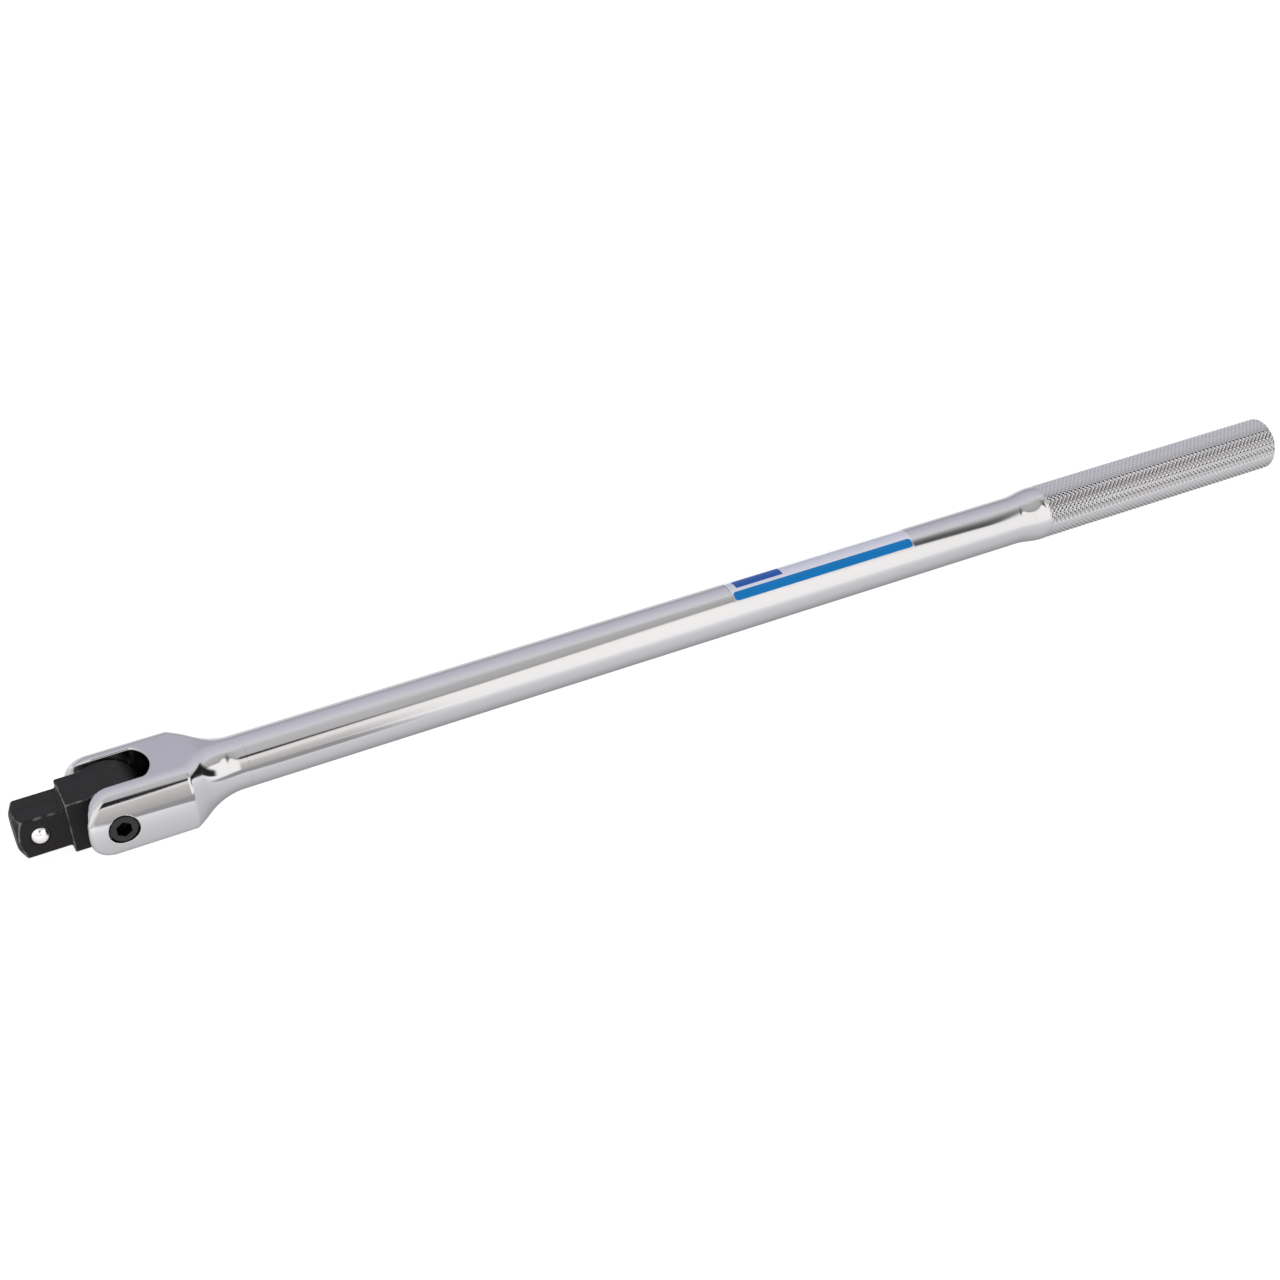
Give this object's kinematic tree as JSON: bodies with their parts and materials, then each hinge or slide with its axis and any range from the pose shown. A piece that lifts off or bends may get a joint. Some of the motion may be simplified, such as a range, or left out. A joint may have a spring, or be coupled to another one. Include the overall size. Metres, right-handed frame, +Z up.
{
  "type": "breaker bar",
  "caption": "Long round steel bar with a knurled grip and a forked end in which a black head with a square drive swings, held by a hex-socket pivot screw.",
  "frame": {"origin": "centre of the square drive's end face, with the head straight", "axes": "+X along the bar from the square towards the grip; +Y along the pivot screw, away from its hex socket; +Z up, square to the yoke's flats"},
  "size_m": [0.457, 0.0322, 0.0214],
  "materials": {
    "chrome_bar": "polished chrome plate on forged steel",
    "black_head": "black phosphate, satin, worn brighter on the edges",
    "black_screw": "black oxide, satin",
    "ball_steel": "ground and polished steel",
    "spring_steel": "drawn wire, lightly oiled",
    "label_film": "clear adhesive film with a blue printed band"
  },
  "bodies": {
    "handle": {"handle_bar": "chrome_bar", "pivot_screw": "black_screw", "shaft_label": "label_film", "friction_plunger_spring": "spring_steel"},
    "head": {"drive_head": "black_head", "retaining_ball_spring": "spring_steel"},
    "ball": {"retaining_ball": "ball_steel"},
    "plunger": {"friction_plunger": "ball_steel"}
  },
  "joints": [
    {"name": "head_pivot", "type": "hinge", "parent": "handle", "child": "head", "pos_m": [0.0282, 0, 0], "axis": [0, 1, 0], "range_deg": [-90, 90]},
    {"name": "retaining_ball_press", "type": "slide", "parent": "head", "child": "ball", "axis": [0, 1, 0], "range_m": [0, 0.0013], "stiffness_N_per_m": 2500, "springref_m": -0.0012, "deforming": ["retaining_ball_spring"]},
    {"name": "friction_plunger_slide", "type": "slide", "parent": "handle", "child": "plunger", "axis": [1, 0, 0], "range_m": [0, 0.0008], "stiffness_N_per_m": 4000, "springref_m": -0.003, "deforming": ["friction_plunger_spring"]}
  ]
}
